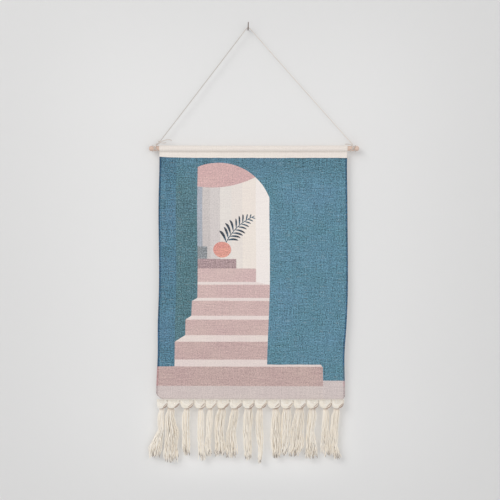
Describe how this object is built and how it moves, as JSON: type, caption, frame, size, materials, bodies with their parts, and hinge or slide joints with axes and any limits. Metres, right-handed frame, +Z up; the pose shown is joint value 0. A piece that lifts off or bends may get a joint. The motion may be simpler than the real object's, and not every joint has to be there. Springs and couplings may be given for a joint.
{
  "type": "tapestry wall hanging",
  "caption": "Rectangular cloth panel with a row of knotted tassels, hung by a top pocket on a round dowel with a cord tied to both ends.",
  "frame": {"origin": "top of the cord's bend, where a nail or hook in the wall holds it", "axes": "X along the dowel to the viewer's right, -Y towards the viewer, +Z up"},
  "size_m": [0.5023, 0.017, 1.0367],
  "materials": {
    "dowel_wood": "bare sanded pale hardwood",
    "hanging_cord_cotton": "thin twisted natural cotton cord",
    "cream_cloth": "unprinted cream plain-weave cotton with slubs",
    "printed_cloth": "matte print in teal, rose and cream on slubby plain-weave cotton",
    "tassel_cotton": "loose undyed cotton yarns"
  },
  "bodies": {
    "hanger": {"hanging_cord": "hanging_cord_cotton", "left_hitch_outer_turn": "hanging_cord_cotton", "left_hitch_inner_turn": "hanging_cord_cotton", "left_hitch_crossing": "hanging_cord_cotton", "right_hitch_outer_turn": "hanging_cord_cotton", "right_hitch_inner_turn": "hanging_cord_cotton", "right_hitch_crossing": "hanging_cord_cotton", "left_cord_knot": "hanging_cord_cotton", "left_cord_standing_end": "hanging_cord_cotton", "left_cord_return": "hanging_cord_cotton", "left_cord_long_tail": "hanging_cord_cotton", "left_cord_short_tail": "hanging_cord_cotton", "right_cord_tail": "hanging_cord_cotton"},
    "dowel": {"dowel": "dowel_wood"},
    "banner": {"header_back": "cream_cloth", "header_back_top": "cream_cloth", "header_front_top": "cream_cloth", "header_front": "cream_cloth", "header_seam": "cream_cloth", "tapestry_panel": "printed_cloth", "knot_01": "tassel_cotton", "knot_02": "tassel_cotton", "knot_03": "tassel_cotton", "knot_04": "tassel_cotton", "knot_05": "tassel_cotton", "knot_06": "tassel_cotton", "knot_07": "tassel_cotton", "knot_08": "tassel_cotton", "knot_09": "tassel_cotton", "knot_10": "tassel_cotton", "knot_11": "tassel_cotton", "knot_12": "tassel_cotton", "knot_13": "tassel_cotton", "knot_14": "tassel_cotton", "knot_15": "tassel_cotton"},
    "tassel_01": {"tassel_01": "tassel_cotton"},
    "tassel_02": {"tassel_02": "tassel_cotton"},
    "tassel_03": {"tassel_03": "tassel_cotton"},
    "tassel_04": {"tassel_04": "tassel_cotton"},
    "tassel_05": {"tassel_05": "tassel_cotton"},
    "tassel_06": {"tassel_06": "tassel_cotton"},
    "tassel_07": {"tassel_07": "tassel_cotton"},
    "tassel_08": {"tassel_08": "tassel_cotton"},
    "tassel_09": {"tassel_09": "tassel_cotton"},
    "tassel_10": {"tassel_10": "tassel_cotton"},
    "tassel_11": {"tassel_11": "tassel_cotton"},
    "tassel_12": {"tassel_12": "tassel_cotton"},
    "tassel_13": {"tassel_13": "tassel_cotton"},
    "tassel_14": {"tassel_14": "tassel_cotton"},
    "tassel_15": {"tassel_15": "tassel_cotton"}
  },
  "joints": [
    {"name": "dowel_roll", "type": "hinge", "parent": "hanger", "child": "dowel", "pos_m": [0.0145, 0, -0.2876], "axis": [-1, 0, 0], "continuous": true},
    {"name": "banner_swing", "type": "hinge", "parent": "hanger", "child": "banner", "pos_m": [0.0145, 0, -0.2876], "axis": [-1, 0, 0], "range_deg": [-75, 75]},
    {"name": "tassel_01_swing", "type": "hinge", "parent": "banner", "child": "tassel_01", "pos_m": [-0.2031, 0, -0.9124], "axis": [-1, 0, 0], "range_deg": [-75, 75]},
    {"name": "tassel_02_swing", "type": "hinge", "parent": "banner", "child": "tassel_02", "pos_m": [-0.1789, 0, -0.9124], "axis": [-1, 0, 0], "range_deg": [-75, 75]},
    {"name": "tassel_03_swing", "type": "hinge", "parent": "banner", "child": "tassel_03", "pos_m": [-0.14395, 0, -0.9124], "axis": [-1, 0, 0], "range_deg": [-75, 75]},
    {"name": "tassel_04_swing", "type": "hinge", "parent": "banner", "child": "tassel_04", "pos_m": [-0.11319, 0, -0.9124], "axis": [-1, 0, 0], "range_deg": [-75, 75]},
    {"name": "tassel_05_swing", "type": "hinge", "parent": "banner", "child": "tassel_05", "pos_m": [-0.0875, 0, -0.9124], "axis": [-1, 0, 0], "range_deg": [-75, 75]},
    {"name": "tassel_06_swing", "type": "hinge", "parent": "banner", "child": "tassel_06", "pos_m": [-0.05852, 0, -0.9124], "axis": [-1, 0, 0], "range_deg": [-75, 75]},
    {"name": "tassel_07_swing", "type": "hinge", "parent": "banner", "child": "tassel_07", "pos_m": [-0.02805, 0, -0.9124], "axis": [-1, 0, 0], "range_deg": [-75, 75]},
    {"name": "tassel_08_swing", "type": "hinge", "parent": "banner", "child": "tassel_08", "pos_m": [0.00122, 0, -0.9124], "axis": [-1, 0, 0], "range_deg": [-75, 75]},
    {"name": "tassel_09_swing", "type": "hinge", "parent": "banner", "child": "tassel_09", "pos_m": [0.0299, 0, -0.9124], "axis": [-1, 0, 0], "range_deg": [-75, 75]},
    {"name": "tassel_10_swing", "type": "hinge", "parent": "banner", "child": "tassel_10", "pos_m": [0.06186, 0, -0.9124], "axis": [-1, 0, 0], "range_deg": [-75, 75]},
    {"name": "tassel_11_swing", "type": "hinge", "parent": "banner", "child": "tassel_11", "pos_m": [0.09293, 0, -0.9124], "axis": [-1, 0, 0], "range_deg": [-75, 75]},
    {"name": "tassel_12_swing", "type": "hinge", "parent": "banner", "child": "tassel_12", "pos_m": [0.12429, 0, -0.9124], "axis": [-1, 0, 0], "range_deg": [-75, 75]},
    {"name": "tassel_13_swing", "type": "hinge", "parent": "banner", "child": "tassel_13", "pos_m": [0.15357, 0, -0.9124], "axis": [-1, 0, 0], "range_deg": [-75, 75]},
    {"name": "tassel_14_swing", "type": "hinge", "parent": "banner", "child": "tassel_14", "pos_m": [0.18403, 0, -0.9124], "axis": [-1, 0, 0], "range_deg": [-75, 75]},
    {"name": "tassel_15_swing", "type": "hinge", "parent": "banner", "child": "tassel_15", "pos_m": [0.2151, 0, -0.9124], "axis": [-1, 0, 0], "range_deg": [-75, 75]}
  ]
}
